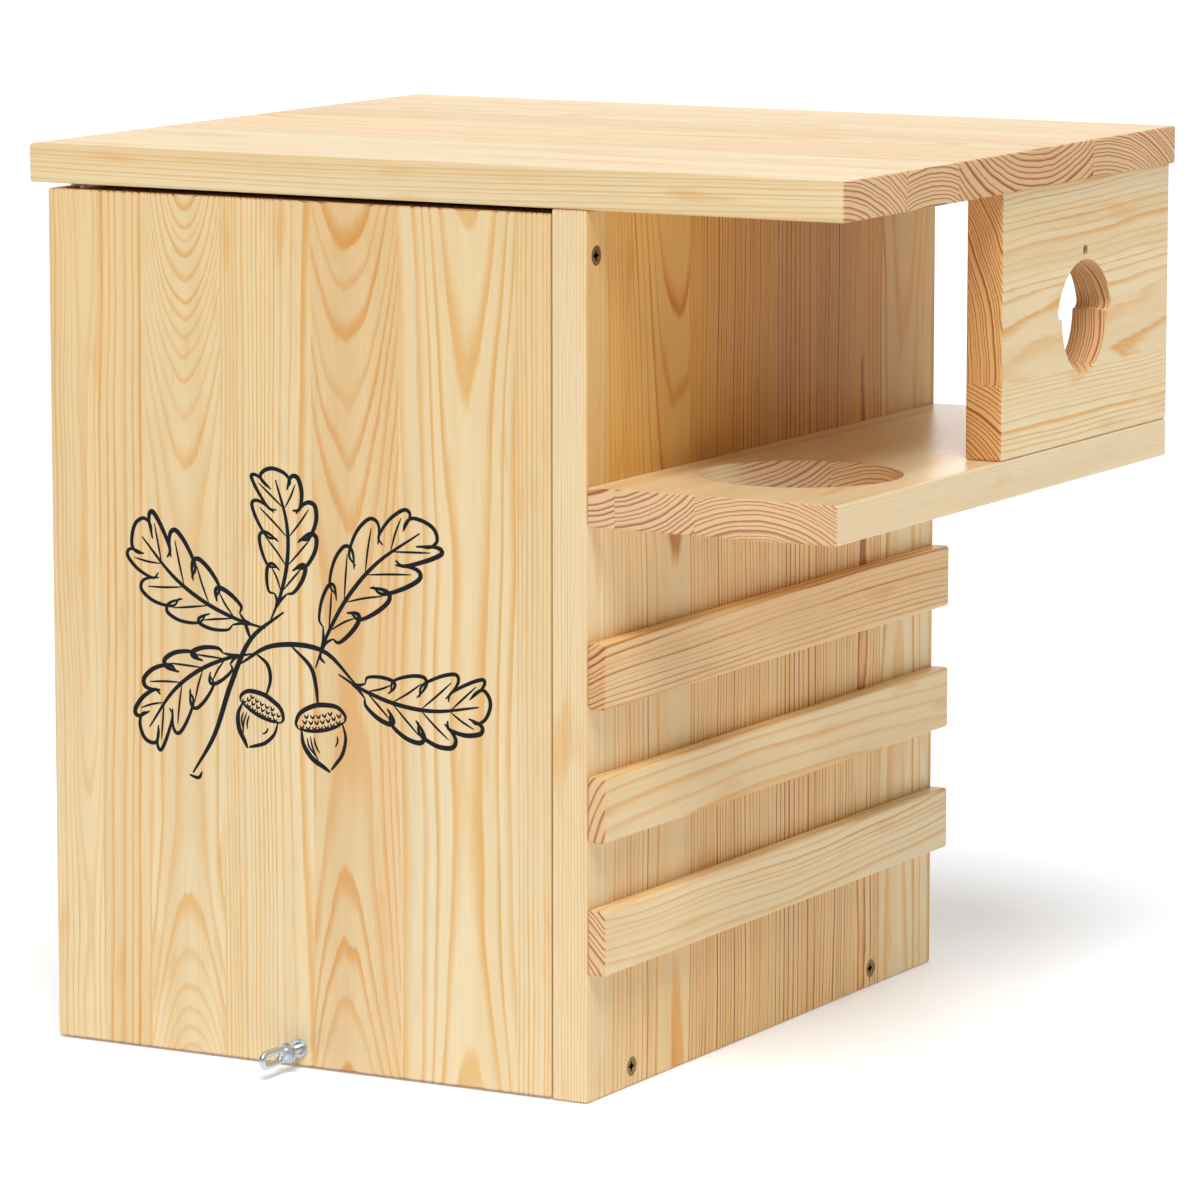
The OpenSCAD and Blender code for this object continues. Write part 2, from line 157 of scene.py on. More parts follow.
SLAT_STAVES = {
    "slat_top": [Stave(30, 62, -30, 2.4, 1.2, 150, 0, -2.0, 1.6, 0.9, 1.5, 0.15, 1)],
    "slat_middle": [Stave(30, -16, 60, 4.4, 0.6, 200, 0, 0.0, 2.2, 0.1, 1.4, 0.15, 2)],
    "slat_bottom": [Stave(30, -18, -30, 2.6, 0.9, 150, 0, 0.0, 2.8, 0.0, 1.15, 0.05, 3)],
}

# The boards that the photograph doesn't show: their run, their width and their seed
PLAIN_BOARDS = {
    "left_wall": (UPRIGHT_SIDE, 333, 11),
    "back_wall": (UPRIGHT_FRONT, 249, 12),
    "floor": (SHELF_RUN, 249, 13),
}
# What their made-up staves' numbers lie between. The heart is in stave widths.
PLAIN_WIDTH = (38, 62)
PLAIN_LEAST = 18
PLAIN_HEART = (-0.6, 1.6)
PLAIN_DEEP = (24, 60)
PLAIN_REST = {
    "ring": (2.2, 4.2), "bow": (-3, 2), "at": (60, 300), "level": (0, 60), "tilt": (-1, 1),
    "wander": (2, 4), "warmth": (0, 0.7), "contrast": (0.75, 1.0), "tone": (0, 0.3),
}

# Painted shade and glare: a board's tone is deepened to a darker gold where it lies in shade
# by other wood (the right wall above the shelf, the panel's front end, the door towards its
# top), and the top of the shelf is painted paler towards the back for the glare on it: the
# axis, the start and end in millimetres from the board's low corner, how much deeper, and the
# axis and sign of the face it is on
PAINTED_SHADE_AND_GLARE = {
    "right_wall": (2, 262, 286, 0.62, 0, 1),
    "outer_panel": (1, 2.5, 0.5, 0.45, 1, -1),
    "door": (2, 60, 400, 0.25, 1, -1),
    "shelf": (1, -200, 350, -0.5, 2, 1),
}

# How far along its normal a face starts to count, and counts in full, as a face with painted
# shade or glare and as end grain
FACE_SPAN = (0.3, 0.7)
END_SPAN = (0.15, 0.70)

# Noise in the wood: its size across and along the grain in millimetres, and a shift that
# sets it apart from the others. Drift, ripple and fringe bend the rings, fade takes late
# wood away in places, and the others are seen as they are.
DRIFT = (34, 230, 0.0)
RIPPLE = (9, 75, 1.7)
FRINGE = (0.9, 16, 2.3)
FADE = (26, 150, 3.1)
STREAK = (0.55, 30, 5.0)
BROAD = (60, 380, 6.0)
BAND = (13, 520, 7.0)
RESIN = (12, 70, 8.0)
FLECK = (0.5, 7, 9.0)

# How far the noise shifts the rings and the pith, in millimetres, and the sway's length
DRIFT_SHIFT = 2.2
RIPPLE_SHIFT = 0.9
FRINGE_SHIFT = 0.32
SWAY_SHIFT = 1.6
SWAY_LENGTH = 150
# The stave's bow and tilt count in this many millimetres along the grain
REACH = 100

# Slow and quick changes of growth: how much of one passes in a year, and how many years
# it adds
SLOW_GROWTH = (0.10, 3.0)
QUICK_GROWTH = (0.41, 1.0)
# Where in a year the late wood sets in, from plain contrast to strong, and by luck
PLAIN_TO_STRONG = (0.95, 2.0)
LATE_START = (0.34, 0.50)
LATE_LUCK = 0.26
# Where in a year the late wood is full, and where it ends
LATE_FULL = 0.86
LATE_END = (0.88, 1.0)
# The weakest year's late wood, the same on end grain, and the most there can be
LATE_LEAST = 0.45
END_LEAST = 0.5
LATE_MOST = 1.8

# Where each noise sets in and is full, and how strong its pattern then is
FADE_SPAN = (0.3, 0.62)
FADE_RANGE = (0.6, 1.0)
BAND_SPAN = (0.35, 0.75)
BAND_STRENGTH = 0.35
RESIN_SPAN = (0.58, 0.78)
RESIN_STRENGTH = 0.5
BROWN_SPAN = (0.85, 1.7)
FLECK_SPAN = (0.70, 0.86)
FLECK_STRENGTH = 0.07
STREAK_STRENGTH = 0.16
BROAD_STRENGTH = 0.16

# A stave's seed times these uneven numbers sets each of its patterns apart
SEED_ACROSS = 7.31
SEED_ALONG = 3.17
SEED_SWAY = 4.7
SEED_SLOW = 5.3
SEED_QUICK = 9.1
SEED_LUCK = 13.7
SEED_STRENGTH = 29.3
SEED_LETTER = 0.137

# The wood's colours, plain and pink
PALE = ("EFDDB8", "EACEA0")
AMBER = ("E5B56C", "DEA35F")
TAN = ("E2BC80", "DCAB73")
END_PALE = ("E7C69C", "E1B88A")
END_AMBER = ("A9622F", "9C5028")
# The colours that are the same in every stave
RESIN_GOLD = "DFAC64"
LATE_BROWN = "A8642C"
# Deep gold tints each stave by its own tone, and also paints the shade on some boards
DEEP_GOLD = "F7DCA4"

# Each board's polish, and how rough the wood is. A full polish and the late wood each take
# some off, and a full polish takes this much off the late wood's part.
PLAIN_POLISH = 0.3
ROOF_POLISH = 0.1
SHELF_POLISH = 0.8
WOOD_ROUGHNESS = 0.43
POLISH_SMOOTHS = 0.15
LATE_SMOOTHS = 0.07
LATE_POLISHED = 0.06
# How strong the relief of the grain is, what a full polish takes off, its depth in
# millimetres and the fibres' share of it
RELIEF = 0.25
RELIEF_POLISHED = 0.24
RELIEF_DEPTH = 0.12
RELIEF_FIBRE = 0.8

# The other materials: a metal's colour, roughness and unevenness, and the size of the
# noise in each as its cycles in a metre
METALS = {
    "zinc": ("D3DEE8", 0.30, 0.15),
    "bronze": ("947C55", 0.34, 0.5),
    # A dark bronze, painted in the screws' cross recesses as their shade
    "bronze_recess": ("2A2119", 0.6, 0.4),
}
METAL_CLOUDS = (450, 450, 450)
METAL_UNEVEN = 0.12
BEECH_FLECKS = (900, 900, 260)
BEECH_SPAN = (0.5, 0.75)
BEECH_ROUGHNESS = 0.6
BEECH = ("DDBE93", "B98A5C")
INK_BLOTS = (700, 700, 160)
INK_BLACK = ("0E0F14", "25252B")
INK_ROUGHNESS = 0.42
INK_UNEVEN = 0.2
INK_SHINE = 0.3

# How far edges are rounded, in millimetres, and in how many faces
BOARD_ROUNDING = 1.2
DOOR_ROUNDING = 1.0
SLAT_ROUNDING = 1.6
RIM_ROUNDING = 0.7
METAL_EASE = 0.15
SCREW_EASE = 0.08
EDGE_FACES = 3
FINE_FACES = 2
# Angles in degrees: faces that count as one, a hole's rim, and edges that look sharp
FLAT_ANGLE = 0.1
RIM_ANGLE = 40
BOARD_SHARP = 32
METAL_SHARP = 35
# Places this near are the same, in metres, and only wider holes get a rim, in millimetres
TOUCHING = 1e-6
NARROWEST_HOLE = 20

# The way each set of screws' heads face. Faces between these depths in millimetres are in
# the cross recess and get painted shade, unless they face away by more than this.
SCREWS_FACE = {
    "pivot_screw": (1, 0, 0), "floor_screws_right": (1, 0, 0), "floor_screws_left": (-1, 0, 0),
    "back_screws": (0, 1, 0), "shelf_screws": (-1, 0, 0), "panel_screws": (0, 0, -1),
    "slat_screws": (-1, 0, 0),
}
RECESS_SPAN = (0.1, 1.95)
RECESS_FACING = -0.3
# The zinc parts, with how far their edges are eased
FINE_PARTS = {
    "pivot_hook": METAL_EASE, "latch_insert": METAL_EASE, "latch_washer": METAL_EASE,
    "latch_screw": 0,
}
DOWELS = ("roof_dowels", "back_dowels", "panel_dowels")

# The sprig printed on the door. Places are complex numbers in millimetres: across from the
# box's middle, and up from the ground as the imaginary part.
STEMS = [
    ([-66 + 133j, -54 + 152j, -45 + 176j, -34 + 198j, -16 + 212j], 2.2),
    ([-40 + 186j, -22 + 196j, 4 + 196j, 22 + 182j], 2.0),
    ([-34 + 198j, -36 + 203j, -38 + 208j], 1.6),
    ([-68 + 132j, -63 + 131j, -61 + 134j], 1.4),
    ([-12 + 196.5j, -2 + 188j, 1 + 179j, 2 + 170j], 1.8),
    ([-31 + 191.5j, -25 + 187j, -23.5 + 180j, -26 + 172j], 1.6),
    ([4 + 196j, 3.5 + 192.5j, 6 + 190j], 1.2),
]
# Each leaf's foot and tip, its half width and how far it bends to one side
LEAVES = [
    (-34 + 205j, -96 + 246j, 17.5, 0.10),
    (-20 + 214j, -22 + 277j, 17.0, -0.12),
    (4 + 196j, 62 + 256j, 18.5, 0.10),
    (20 + 182j, 92 + 178j, 17.0, -0.10),
    (-40 + 190j, -92 + 148j, 15.5, -0.12),
]
# Each lobe's start and end as parts of the leaf, and its width as a part of the leaf's
LOBES = [(0.10, 0.27, 0.60), (0.29, 0.48, 0.90), (0.50, 0.69, 1.0), (0.71, 0.86, 0.74)]
# Each acorn's top, the way it points in degrees, its length and its half width
ACORNS = [(2 + 170j, -78, 30, 11.5), (-26 + 172j, -112, 26, 10.5)]
# Each row of marks on the cup: how far down it is, its width and its marks
CUP_ROWS = [(0.08, 0.70, 5), (0.17, 0.95, 7), (0.26, 1.0, 7)]
# Each line down the nut: its side, its start and its end
NUT_LINES = [(-0.78, 0.46, 0.74), (-0.62, 0.44, 0.84), (-0.46, 0.46, 0.72), (0.62, 0.5, 0.66)]

# How wide a stroke's ends are, the power its width swells by, the weight of all strokes,
# and the steps of a path from one place to the next
PEN_END = 0.3
PEN_SWELL = 0.7
PEN_WEIGHT = 1.2
PATH_STEPS = 6
# Pen widths in millimetres. The lobes of a leaf have one for each side.
LOBE_PENS = ((1, 1.5), (-1, 1.9))
VEIN_PEN = 0.85
STALK_PEN = 1.2
TIP_PEN = 1.6
RIB_PEN = 1.7
CUP_PEN = 1.9
BRIM_PEN = 1.5
NUT_PENS = (1.5, 2.0)
FINE_PEN = 0.8
# How far the first stroke stands off the door, how thick all are, and how much farther
# each next one stands off, in millimetres
INK_PROUD = 0.05
INK_DEEP = 0.11
INK_STEP = 0.0002


def sight(hex_code):
    """A colour written as it looks on a screen, as linear red, green, blue and alpha."""
    channels = [int(hex_code[i:i + 2], 16) / 255 for i in (0, 2, 4)]
    linear = [c / 12.92 if c <= 0.04045 else ((c + 0.055) / 1.055) ** 2.4 for c in channels]
    return (*linear, 1.0)


class Wires:
    """Puts nodes into one node tree and joins them up."""

    def __init__(self, tree):
        self.tree = tree

    def put(self, kind, **settings):
        node = self.tree.nodes.new(kind)
        for name, value in settings.items():
            setattr(node, name, value)
        return node

    def feed(self, socket, value):
        if isinstance(value, bpy.types.NodeSocket):
            self.tree.links.new(value, socket)
        else:
            socket.default_value = value

    def maths(self, operation, *values):
        node = self.put("ShaderNodeMath", operation=operation)
        for socket, value in zip(node.inputs, values):
            self.feed(socket, value)
        return node.outputs[0]

    def add(self, *values):
        return self.maths("ADD", *values)

    def less(self, *values):
        return self.maths("SUBTRACT", *values)

    def times(self, *values):
        return self.maths("MULTIPLY", *values)

    def split(self, vector):
        node = self.put("ShaderNodeSeparateXYZ")
        self.feed(node.inputs[0], vector)
        return node.outputs[0], node.outputs[1], node.outputs[2]

    def join(self, x, y, z):
        node = self.put("ShaderNodeCombineXYZ")
        for socket, value in zip(node.inputs, (x, y, z)):
            self.feed(socket, value)
        return node.outputs[0]

    def trait(self, name):
        node = self.put("ShaderNodeAttribute", attribute_name=name)
        return self.split(node.outputs["Vector"])

    def step(self, value, low, high, start=0.0, end=1.0):
        node = self.put("ShaderNodeMapRange", interpolation_type="SMOOTHSTEP")
        for name, number in (("Value", value), ("From Min", low), ("From Max", high),
                             ("To Min", start), ("To Max", end)):
            self.feed(node.inputs[name], number)
        return node.outputs["Result"]

    def noise(self, place, detail=1.0, rough=0.5):
        node = self.put("ShaderNodeTexNoise", noise_dimensions="3D")
        self.feed(node.inputs["Vector"], place)
        node.inputs["Scale"].default_value = 1.0
        node.inputs["Detail"].default_value = detail
        node.inputs["Roughness"].default_value = rough
        return node.outputs["Fac"]

    def line_noise(self, place, detail=0.0):
        node = self.put("ShaderNodeTexNoise", noise_dimensions="1D")
        self.feed(node.inputs["W"], place)
        node.inputs["Scale"].default_value = 1.0
        node.inputs["Detail"].default_value = detail
        return node.outputs["Fac"]

    def chance(self, place):
        node = self.put("ShaderNodeTexWhiteNoise", noise_dimensions="1D")
        self.feed(node.inputs["W"], place)
        return node.outputs["Value"]

    def mix(self, amount, first, second, blend="MIX", beyond=False):
        node = self.put("ShaderNodeMix", data_type="RGBA", blend_type=blend)
        node.clamp_factor = not beyond
        self.feed(node.inputs["Factor"], amount)
        self.feed(node.inputs[6], first)
        self.feed(node.inputs[7], second)
        return node.outputs[2]

    def dim(self, colour, shade):
        return self.mix(1.0, colour, self.join(shade, shade, shade), blend="MULTIPLY")

    def object_noise(self, scale, detail):
        node = self.put("ShaderNodeMapping")
        node.inputs["Scale"].default_value = scale
        self.feed(node.inputs["Vector"], self.put("ShaderNodeTexCoord").outputs["Object"])
        return self.noise(node.outputs["Vector"], detail=detail)


class Grain:
    """A place in a stave, its stave's numbers, and noise drawn out along the grain."""

    def __init__(self, wires, place):
        self.wires = wires
        self.across, self.through, self.along = wires.split(place)
        self.heart, self.deep, self.ring = wires.trait("stave_heart")
        self.bow, self.at, self.tilt = wires.trait("stave_run")
        self.wander, self.warmth, self.contrast = wires.trait("stave_look")
        self.seed, self.level, self.tone = wires.trait("stave_seed")

    def noise(self, size, **settings):
        """Noise of a size given as its width, its length and its shift."""
        w = self.wires
        width, length, shift = size
        place = w.join(
            w.add(w.times(self.across, 1 / width), w.times(self.seed, SEED_ACROSS + shift)),
            w.times(self.through, 1 / width),
            w.add(w.times(self.along, 1 / length), w.times(self.seed, SEED_ALONG)))
        return w.noise(place, **settings)

    def swing(self, place, rate, apart, detail=0.0):
        """Noise along a line, which swings either side of nought."""
        w = self.wires
        moved = w.add(w.times(place, rate), w.times(self.seed, apart))
        return w.less(w.line_noise(moved, detail), 0.5)

    def luck(self, year, apart):
        """One chance number for each year's ring."""
        w = self.wires
        return w.chance(w.add(year, w.times(self.seed, apart)))

    def colour(self, pair):
        """The stave's own colour between a plain and a pink one."""
        return self.wires.mix(self.warmth, sight(pair[0]), sight(pair[1]))


def ring_radius(w, grain):
    """How far a place is from its stave's pith, which sways, leans and bends."""
    sway = grain.swing(grain.along, 1 / SWAY_LENGTH, SEED_SWAY, detail=1.0)
    heart = w.add(grain.heart, w.times(w.times(sway, grain.wander), SWAY_SHIFT))
    reach = w.times(w.less(grain.along, grain.at), 1 / REACH)
    level = w.times(grain.level, 1 / REACH)
    beyond = w.maths("MAXIMUM", w.less(w.maths("ABSOLUTE", reach), level), 0.0)
    bend = w.times(grain.bow, w.times(beyond, beyond))
    pith = w.add(grain.deep, w.add(w.times(reach, grain.tilt), bend))
    side = w.less(grain.across, heart)
    depth = w.less(grain.through, pith)
    radius = w.maths("SQRT", w.add(w.times(side, side), w.times(depth, depth)))
    drift = w.less(grain.noise(DRIFT, detail=2.0, rough=0.4), 0.5)
    ripple = w.less(grain.noise(RIPPLE), 0.5)
    fringe = w.less(grain.noise(FRINGE), 0.5)
    radius = w.add(radius, w.times(w.times(drift, grain.wander), DRIFT_SHIFT))
    return w.add(radius, w.add(w.times(ripple, RIPPLE_SHIFT), w.times(fringe, FRINGE_SHIFT)))


def ring_age(w, grain):
    """A place's age in years, from its radius and the stave's slow and quick growth."""
    age = w.maths("DIVIDE", ring_radius(w, grain), grain.ring)
    slow = grain.swing(age, SLOW_GROWTH[0], SEED_SLOW)
    quick = grain.swing(age, QUICK_GROWTH[0], SEED_QUICK)
    return w.add(age, w.add(w.times(slow, SLOW_GROWTH[1]), w.times(quick, QUICK_GROWTH[1])))


def late_wood(w, grain):
    """How much late wood there is at a place, on a board's sides and on its end grain."""
    age = ring_age(w, grain)
    year = w.maths("FLOOR", age)
    season = w.maths("FRACT", age)
    start = w.add(w.step(grain.contrast, *PLAIN_TO_STRONG, *LATE_START),
                  w.times(grain.luck(year, SEED_LUCK), LATE_LUCK))
    ripe = w.times(w.step(season, start, LATE_FULL), w.step(season, *LATE_END, 1.0, 0.0))
    strength = w.add(LATE_LEAST, w.times(grain.luck(year, SEED_STRENGTH), 1 - LATE_LEAST))
    fade = w.step(grain.noise(FADE), *FADE_SPAN, *FADE_RANGE)
    late = w.times(w.times(ripe, strength), w.times(fade, grain.contrast))
    end_late = w.times(ripe, w.add(END_LEAST, w.times(strength, 1 - END_LEAST)))
    return w.maths("MINIMUM", late, LATE_MOST), end_late


def side_colour(w, grain, late):
    """The colour along the grain: pale wood, its bands and resin, and its late wood."""
    band = w.step(grain.noise(BAND, detail=2.0), *BAND_SPAN)
    resin = w.step(grain.noise(RESIN, detail=2.0), *RESIN_SPAN)
    colour = w.mix(w.times(band, BAND_STRENGTH), grain.colour(PALE), grain.colour(TAN))
    colour = w.mix(w.times(resin, RESIN_STRENGTH), colour, sight(RESIN_GOLD))
    colour = w.mix(late, colour, grain.colour(AMBER))
    return w.mix(w.step(late, *BROWN_SPAN), colour, sight(LATE_BROWN))


def wood_shade(w, grain, fibre):
    """How light the wood is, from its fibres, its broad patches and its dark flecks."""
    broad = grain.noise(BROAD)
    fleck = w.step(grain.noise(FLECK), *FLECK_SPAN)
    shade = w.add(w.times(w.less(fibre, 0.5), STREAK_STRENGTH),
                  w.times(w.less(broad, 0.5), BROAD_STRENGTH))
    return w.less(w.add(1.0, shade), w.times(fleck, FLECK_STRENGTH))


def growth_rings():
    """Node group: the colour of pine at a place in a stave, cut from its growth rings."""
    tree = bpy.data.node_groups.new("growth rings", "ShaderNodeTree")
    for name, kind in (("Place", "NodeSocketVector"), ("End grain", "NodeSocketFloat"),
                       ("Shelter", "NodeSocketFloat")):
        tree.interface.new_socket(name, in_out="INPUT", socket_type=kind)
    for name, kind in (("Colour", "NodeSocketColor"), ("Late wood", "NodeSocketFloat"),
                       ("Fibre", "NodeSocketFloat")):
        tree.interface.new_socket(name, in_out="OUTPUT", socket_type=kind)
    w = Wires(tree)
    entry = w.put("NodeGroupInput")
    result = w.put("NodeGroupOutput")
    grain = Grain(w, entry.outputs["Place"])
    late, end_late = late_wood(w, grain)
    fibre = grain.noise(STREAK, detail=2.0)
    end_colour = w.mix(end_late, grain.colour(END_PALE), grain.colour(END_AMBER))
    colour = w.mix(entry.outputs["End grain"], side_colour(w, grain, late), end_colour)
    # The stave's own tone plus the painted shade and glare set how far the colour turns deep
    # gold
    tone = w.add(grain.tone, entry.outputs["Shelter"])
    deepened = w.mix(1.0, colour, sight(DEEP_GOLD), blend="MULTIPLY")
    colour = w.mix(tone, colour, deepened, beyond=True)
    w.feed(result.inputs["Colour"], w.dim(colour, wood_shade(w, grain, fibre)))
    w.feed(result.inputs["Late wood"], late)
    w.feed(result.inputs["Fibre"], fibre)
    return tree


def new_material(name):
    """A material with its shader ready, as the material, its wires and the shader."""
    material = bpy.data.materials.new(name)
    material.use_nodes = True
    return material, Wires(material.node_tree), material.node_tree.nodes["Principled BSDF"]


def painted_shade_and_glare(w, node, parts, normals):
    """How much painted shade deepens a board's tone at a place, or painted glare makes it
    paler, on the face it is given for.
    """
    axis, start, end, deeper, face, sign = PAINTED_SHADE_AND_GLARE[node]
    on_face = w.step(w.times(normals[face], sign), *FACE_SPAN)
    return w.times(on_face, w.step(parts[axis], start, end, 0.0, deeper))


def pine(node, run, rings, polish):
    """Planed and lightly oiled pine of one board, its grain along the board's own run."""
    material, w, shader = new_material("pine_" + node)
    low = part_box(node)[0]
    coordinates = w.put("ShaderNodeTexCoord")
    place = w.put("ShaderNodeMapping", vector_type="POINT")
    place.inputs["Location"].default_value = [-c / MM for c in low]
    place.inputs["Scale"].default_value = (1 / MM, 1 / MM, 1 / MM)
    w.feed(place.inputs["Vector"], coordinates.outputs["Object"])
    parts = w.split(place.outputs["Vector"])
    normals = w.split(coordinates.outputs["Normal"])
    cut = w.put("ShaderNodeGroup", node_tree=rings)
    w.feed(cut.inputs["Place"], w.join(*(parts[axis] for axis in run)))
    w.feed(cut.inputs["End grain"], w.step(w.maths("ABSOLUTE", normals[run[2]]), *END_SPAN))
    # Painted shade and glare, on the boards listed for it
    if node in PAINTED_SHADE_AND_GLARE:
        w.feed(cut.inputs["Shelter"], painted_shade_and_glare(w, node, parts, normals))
    w.feed(shader.inputs["Base Color"], cut.outputs["Colour"])
    smoother = w.times(cut.outputs["Late wood"], LATE_SMOOTHS - LATE_POLISHED * polish)
    roughness = w.less(WOOD_ROUGHNESS - POLISH_SMOOTHS * polish ** 2, smoother)
    w.feed(shader.inputs["Roughness"], roughness)
    bump = w.put("ShaderNodeBump")
    bump.inputs["Strength"].default_value = RELIEF - RELIEF_POLISHED * polish
    bump.inputs["Distance"].default_value = RELIEF_DEPTH * MM
    height = w.add(cut.outputs["Late wood"], w.times(cut.outputs["Fibre"], RELIEF_FIBRE))
    w.feed(bump.inputs["Height"], height)
    w.feed(shader.inputs["Normal"], bump.outputs["Normal"])
    shader.inputs["Specular IOR Level"].default_value = polish
    return material


def on_outline(edge, low, high):
    """Whether an edge runs along an outer edge of the box between low and high."""
    shared = 0
    for axis in range(3):
        for face in (low[axis], high[axis]):
            if all(abs(vert.co[axis] - face) < TOUCHING for vert in edge.verts):
                shared += 1
    return shared == 2


def sharp_edges(shape, degrees):
    """The edges between two faces that meet at more than so many degrees."""
    return [edge for edge in shape.edges
            if len(edge.link_faces) == 2 and edge.calc_face_angle(0) > math.radians(degrees)]


def rim_groups(shape, low, high):
    """The sharp rims of holes in the board's faces, as lists of joined edges."""
    sharp = {edge for edge in sharp_edges(shape, RIM_ANGLE) if not on_outline(edge, low, high)}
    groups = []
    while sharp:
        front = [sharp.pop()]
        group = list(front)
        while front:
            edge = front.pop()
            for vert in edge.verts:
                for other in vert.link_edges:
                    if other in sharp:
                        sharp.remove(other)
                        front.append(other)
                        group.append(other)
        groups.append(group)
    return groups


def wide_rims(shape, low, high):
    """The edges of all the rims that are wide enough to be rounded."""
    rims = []
    for group in rim_groups(shape, low, high):
        spots = [vert.co for edge in group for vert in edge.verts]
        spread = max(max(c[a] for c in spots) - min(c[a] for c in spots) for a in range(3))
        if spread > NARROWEST_HOLE * MM:
            rims.extend(group)
    return rims


def round_edges(shape, edges, rounding, segments):
    bmesh.ops.bevel(shape, geom=list(edges), offset=rounding, offset_type="OFFSET",
                    segments=segments, profile=0.5, affect="EDGES", clamp_overlap=True,
                    material=-1)


def clean_copy(node):
    """The node's solid as one closed mesh of large faces."""
    shape = bmesh.new()
    shape.from_mesh(frame["nodes"][node].data)
    bmesh.ops.remove_doubles(shape, verts=shape.verts, dist=TOUCHING)
    bmesh.ops.dissolve_limit(shape, angle_limit=math.radians(FLAT_ANGLE), verts=shape.verts,
                             edges=shape.edges)
    return shape


def mesh_of(shape, name):
    """The shape as a mesh. The shape itself is given up."""
    mesh = bpy.data.meshes.new(name)
    shape.to_mesh(mesh)
    shape.free()
    return mesh


def add_object(name, data):
    """A new object of the scene that holds the data."""
    thing = bpy.data.objects.new(name, data)
    bpy.context.scene.collection.objects.link(thing)
    return thing


def finish_piece(shape, name, node, materials, sharp):
    """Makes the mesh an object that stands for the node and rides on its body."""
    mesh = mesh_of(shape, name)
    mesh.shade_smooth()
    mesh.set_sharp_from_angle(angle=math.radians(sharp))
    for material in materials:
        mesh.materials.append(material)
    piece = add_object(name, mesh)
    even = piece.modifiers.new("even shading", "WEIGHTED_NORMAL")
    even.keep_sharp = True
    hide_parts(node)
    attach(piece, frame["nodes"][node]["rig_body"])
    return piece


def mark_staves(mesh, staves, run, low):
    """Writes each stave's numbers on its faces, where the pine material reads them."""
    chosen = []
    for polygon in mesh.polygons:
        across = (polygon.center[run[0]] - low[run[0]]) / MM
        chosen.append(next((s for s in staves if across < s.end), staves[-1]))
    apart = SEED_LETTER * len(mesh.name)
    traits = {
        "stave_heart": lambda s: (s.heart, s.deep, s.ring),
        "stave_run": lambda s: (s.bow, s.at, s.tilt),
        "stave_look": lambda s: (s.wander, s.warmth, s.contrast),
        "stave_seed": lambda s: (s.seed + apart, s.level, s.tone),
    }
    for name, read in traits.items():
        trait = mesh.attributes.new(name, "FLOAT_VECTOR", "FACE")
        trait.data.foreach_set("vector", [number for s in chosen for number in read(s)])


def board(node, run, staves, rings, rounding=BOARD_ROUNDING, polish=PLAIN_POLISH):
    """A glued pine board: rounded outer edges, eased hole rims and its staves marked."""
    shape = clean_copy(node)
    low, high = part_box(node)
    outline = [edge for edge in shape.edges if on_outline(edge, low, high)]
    rims = wide_rims(shape, low, high)
    round_edges(shape, outline, rounding * MM, EDGE_FACES)
    if rims:
        round_edges(shape, [edge for edge in rims if edge.is_valid], RIM_ROUNDING * MM,
                    FINE_FACES)
    normal = Vector([1.0 if axis == run[0] else 0.0 for axis in range(3)])
    for stave in staves[:-1]:
        bmesh.ops.bisect_plane(shape, geom=shape.verts[:] + shape.edges[:] + shape.faces[:],
                               plane_co=low + normal * stave.end * MM, plane_no=normal)
    wood = pine(node, run, rings, polish)
    piece = finish_piece(shape, node + "_board", node, [wood], BOARD_SHARP)
    mark_staves(piece.data, staves, run, low)


def plain_staves(width, seed):
    """Made-up staves for a board that the photograph doesn't show."""
    draw = random.Random(seed)
    staves = []
    end = 0.0
    while end < width:
        start = end
        end += draw.uniform(*PLAIN_WIDTH)
        if width - end < PLAIN_LEAST:
            end = width + 1
        heart = start + draw.uniform(*PLAIN_HEART) * (end - start)
        deep = draw.choice((-1, 1)) * draw.uniform(*PLAIN_DEEP)
        rest = {name: draw.uniform(*span) for name, span in PLAIN_REST.items()}
        staves.append(Stave(end, heart, deep, seed=len(staves) + 1, **rest))
    return staves


def metal(name):
    """A plated metal whose brightness and roughness vary a little over the surface."""
    material, w, shader = new_material(name)
    tone, roughness, uneven = METALS[name]
    cloud = w.object_noise(METAL_CLOUDS, 3.0)
    shade = w.add(1.0, w.times(w.less(cloud, 0.5), uneven))
    w.feed(shader.inputs["Base Color"], w.dim(sight(tone), shade))
    w.feed(shader.inputs["Roughness"], w.add(roughness, w.times(cloud, METAL_UNEVEN)))
    shader.inputs["Metallic"].default_value = 1.0
    return material


def beech():
    """Pale beech of the dowels, with short darker flecks along them."""
    material, w, shader = new_material("beech")
    fleck = w.step(w.object_noise(BEECH_FLECKS, 2.0), *BEECH_SPAN)
    w.feed(shader.inputs["Base Color"], w.mix(fleck, sight(BEECH[0]), sight(BEECH[1])))
    shader.inputs["Roughness"].default_value = BEECH_ROUGHNESS
    return material


def ink():
    """Black printing ink, a little uneven where the wood drank it."""
    material, w, shader = new_material("ink")
    drunk = w.object_noise(INK_BLOTS, 3.0)
    w.feed(shader.inputs["Base Color"], w.mix(drunk, sight(INK_BLACK[0]), sight(INK_BLACK[1])))
    w.feed(shader.inputs["Roughness"], w.add(INK_ROUGHNESS, w.times(drunk, INK_UNEVEN)))
    shader.inputs["Specular IOR Level"].default_value = INK_SHINE
    return material


def dress(node, material):
    """Gives a CAD node that stays as it is a better material."""
    slots = frame["nodes"][node].data.materials
    slots.clear()
    slots.append(material)


def fine_part(node, material, rounding):
    """A small zinc part: a merged copy of its node, with eased edges where it has rounding."""
    shape = clean_copy(node)
    if rounding:
        round_edges(shape, sharp_edges(shape, METAL_SHARP), rounding * MM, FINE_FACES)
    finish_piece(shape, node + "_part", node, [material], METAL_SHARP)


